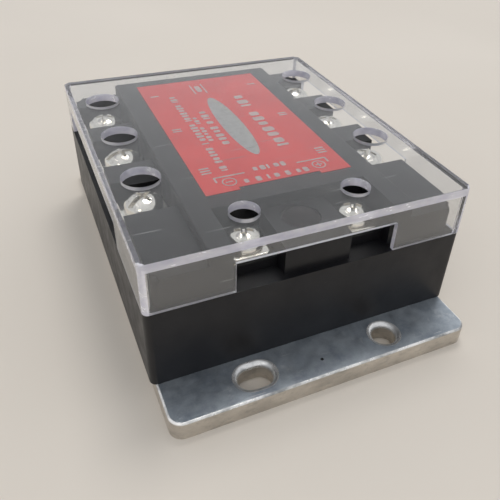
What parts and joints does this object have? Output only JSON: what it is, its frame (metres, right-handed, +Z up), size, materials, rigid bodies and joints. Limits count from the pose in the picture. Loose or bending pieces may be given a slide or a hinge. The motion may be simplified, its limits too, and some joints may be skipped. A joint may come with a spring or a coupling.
{
  "type": "solid state relay",
  "caption": "Panel-mount three-phase solid state relay: black housing with screw terminals on an aluminium plate, under a clear lift-off cover.",
  "frame": {"origin": "centre of the mounting plate's underside, which rests on the heat sink", "axes": "+Z up out of the plate, +Y along the plate from the input terminals to the far end, +X towards the line terminals"},
  "size_m": [0.0744, 0.11, 0.0369],
  "materials": {
    "plate_aluminium": "dull machined plate with bright worn edges and fine scratches",
    "sealant": "matt bead of silicone",
    "black_plastic": "satin moulded thermoplastic",
    "clear_plastic": "clear polished moulding with faintly lilac edges",
    "red_label": null,
    "smoked_lens": "dark smoked plastic",
    "led_body": "tinted clear epoxy",
    "tinned_terminal": "tinned, lightly rubbed",
    "plated_steel": "bright nickel plate, slightly warm",
    "ceramic": "fired alumina, matt",
    "circuit_board": "glass-fibre laminate under green solder mask",
    "component_black": "moulded epoxy",
    "capacitor_film": "dipped box capacitor",
    "resistor_body": "lacquered ceramic rod"
  },
  "bodies": {
    "root": {"base_plate": "plate_aluminium", "base_seal": "sealant", "housing": "black_plastic", "rating_label": "red_label", "indicator_window": "smoked_lens", "status_led": "led_body", "input_minus_tab": "tinned_terminal", "input_minus_nut": "plated_steel", "input_plus_tab": "tinned_terminal", "input_plus_nut": "plated_steel", "line_1_tab": "tinned_terminal", "line_1_nut": "plated_steel", "line_2_tab": "tinned_terminal", "line_2_nut": "plated_steel", "line_3_tab": "tinned_terminal", "line_3_nut": "plated_steel", "load_1_tab": "tinned_terminal", "load_1_nut": "plated_steel", "load_2_tab": "tinned_terminal", "load_2_nut": "plated_steel", "load_3_tab": "tinned_terminal", "load_3_nut": "plated_steel", "ceramic_substrate": "ceramic", "control_board": "circuit_board", "thyristor_pair_1": "component_black", "optocoupler_1": "component_black", "snubber_capacitor_1": "capacitor_film", "snubber_resistor_1": "resistor_body", "thyristor_pair_2": "component_black", "optocoupler_2": "component_black", "snubber_capacitor_2": "capacitor_film", "snubber_resistor_2": "resistor_body", "thyristor_pair_3": "component_black", "optocoupler_3": "component_black", "snubber_capacitor_3": "capacitor_film", "snubber_resistor_3": "resistor_body"},
    "cover": {"cover": "clear_plastic"},
    "input_minus_washer": {"input_minus_washer": "plated_steel"},
    "input_minus_screw": {"input_minus_screw": "plated_steel"},
    "input_plus_washer": {"input_plus_washer": "plated_steel"},
    "input_plus_screw": {"input_plus_screw": "plated_steel"},
    "line_1_washer": {"line_1_washer": "plated_steel"},
    "line_1_screw": {"line_1_screw": "plated_steel"},
    "line_2_washer": {"line_2_washer": "plated_steel"},
    "line_2_screw": {"line_2_screw": "plated_steel"},
    "line_3_washer": {"line_3_washer": "plated_steel"},
    "line_3_screw": {"line_3_screw": "plated_steel"},
    "load_1_washer": {"load_1_washer": "plated_steel"},
    "load_1_screw": {"load_1_screw": "plated_steel"},
    "load_2_washer": {"load_2_washer": "plated_steel"},
    "load_2_screw": {"load_2_screw": "plated_steel"},
    "load_3_washer": {"load_3_washer": "plated_steel"},
    "load_3_screw": {"load_3_screw": "plated_steel"}
  },
  "joints": [
    {"name": "cover_lift", "type": "slide", "parent": "root", "child": "cover", "axis": [0, 0, 1], "range_m": [0, 0.03]},
    {"name": "input_minus_washer_rise", "type": "slide", "parent": "root", "child": "input_minus_washer", "axis": [0, 0, 1], "range_m": [0, 0.0028]},
    {"name": "input_minus_screw_turn", "type": "hinge", "parent": "input_minus_washer", "child": "input_minus_screw", "pos_m": [-0.0131, -0.034, 0.0286], "axis": [0, 0, 1], "range_deg": [0, 1450]},
    {"name": "input_plus_washer_rise", "type": "slide", "parent": "root", "child": "input_plus_washer", "axis": [0, 0, 1], "range_m": [0, 0.0028]},
    {"name": "input_plus_screw_turn", "type": "hinge", "parent": "input_plus_washer", "child": "input_plus_screw", "pos_m": [0.0131, -0.034, 0.0286], "axis": [0, 0, 1], "range_deg": [0, 1450]},
    {"name": "line_1_washer_rise", "type": "slide", "parent": "root", "child": "line_1_washer", "axis": [0, 0, 1], "range_m": [0, 0.0028]},
    {"name": "line_1_screw_turn", "type": "hinge", "parent": "line_1_washer", "child": "line_1_screw", "pos_m": [0.0293, 0.0283, 0.0275], "axis": [0, 0, 1], "range_deg": [0, 1270]},
    {"name": "line_2_washer_rise", "type": "slide", "parent": "root", "child": "line_2_washer", "axis": [0, 0, 1], "range_m": [0, 0.0028]},
    {"name": "line_2_screw_turn", "type": "hinge", "parent": "line_2_washer", "child": "line_2_screw", "pos_m": [0.0293, 0.007, 0.0275], "axis": [0, 0, 1], "range_deg": [0, 1270]},
    {"name": "line_3_washer_rise", "type": "slide", "parent": "root", "child": "line_3_washer", "axis": [0, 0, 1], "range_m": [0, 0.0028]},
    {"name": "line_3_screw_turn", "type": "hinge", "parent": "line_3_washer", "child": "line_3_screw", "pos_m": [0.0293, -0.0143, 0.0275], "axis": [0, 0, 1], "range_deg": [0, 1270]},
    {"name": "load_1_washer_rise", "type": "slide", "parent": "root", "child": "load_1_washer", "axis": [0, 0, 1], "range_m": [0, 0.0028]},
    {"name": "load_1_screw_turn", "type": "hinge", "parent": "load_1_washer", "child": "load_1_screw", "pos_m": [-0.0293, 0.0283, 0.0275], "axis": [0, 0, 1], "range_deg": [0, 1270]},
    {"name": "load_2_washer_rise", "type": "slide", "parent": "root", "child": "load_2_washer", "axis": [0, 0, 1], "range_m": [0, 0.0028]},
    {"name": "load_2_screw_turn", "type": "hinge", "parent": "load_2_washer", "child": "load_2_screw", "pos_m": [-0.0293, 0.007, 0.0275], "axis": [0, 0, 1], "range_deg": [0, 1270]},
    {"name": "load_3_washer_rise", "type": "slide", "parent": "root", "child": "load_3_washer", "axis": [0, 0, 1], "range_m": [0, 0.0028]},
    {"name": "load_3_screw_turn", "type": "hinge", "parent": "load_3_washer", "child": "load_3_screw", "pos_m": [-0.0293, -0.0143, 0.0275], "axis": [0, 0, 1], "range_deg": [0, 1270]}
  ],
  "couplings": [
    {"joint": "input_minus_screw_turn", "follows": "input_minus_washer_rise", "rad_per_m": 8976},
    {"joint": "input_plus_screw_turn", "follows": "input_plus_washer_rise", "rad_per_m": 8976},
    {"joint": "line_1_screw_turn", "follows": "line_1_washer_rise", "rad_per_m": 7854},
    {"joint": "line_2_screw_turn", "follows": "line_2_washer_rise", "rad_per_m": 7854},
    {"joint": "line_3_screw_turn", "follows": "line_3_washer_rise", "rad_per_m": 7854},
    {"joint": "load_1_screw_turn", "follows": "load_1_washer_rise", "rad_per_m": 7854},
    {"joint": "load_2_screw_turn", "follows": "load_2_washer_rise", "rad_per_m": 7854},
    {"joint": "load_3_screw_turn", "follows": "load_3_washer_rise", "rad_per_m": 7854}
  ]
}
